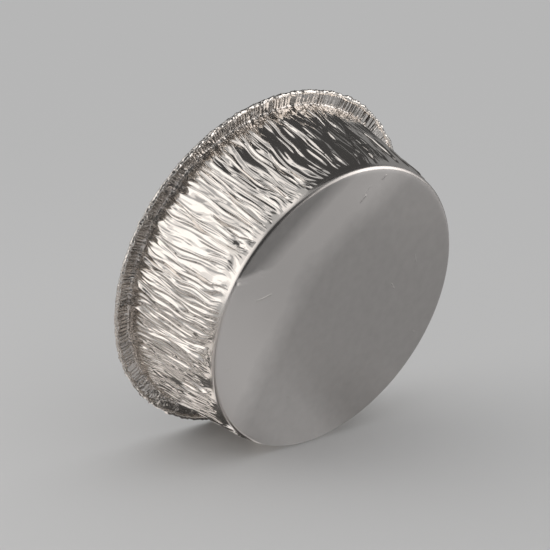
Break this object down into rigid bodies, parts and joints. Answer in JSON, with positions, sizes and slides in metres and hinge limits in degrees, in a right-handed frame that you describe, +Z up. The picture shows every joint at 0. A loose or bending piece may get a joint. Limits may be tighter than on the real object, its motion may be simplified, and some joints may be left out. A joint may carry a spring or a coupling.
{
  "type": "foil pie tray",
  "caption": "Round deep aluminium foil pie tray with a smooth flat bottom, a flared wall of long wrinkles, a pleated ledge and a rolled edge.",
  "frame": {"origin": "centre of the underside of the flat bottom, on the surface that the tray stands on", "axes": "+Z up out of the open mouth; the tray is round about +Z, so +X and +Y are any two sides of it"},
  "size_m": [0.12, 0.12, 0.037],
  "materials": {
    "base_foil": "satin rolled foil, lightly scratched",
    "wall_foil": "bright foil, gathered into wrinkles",
    "rim_foil": "bright foil with fine radial pleats",
    "edge_foil": "bright foil, curled and crinkled"
  },
  "bodies": {
    "root": {"base_panel": "base_foil", "side_wall": "wall_foil", "rim_flange": "rim_foil", "rolled_edge": "edge_foil"}
  },
  "joints": []
}
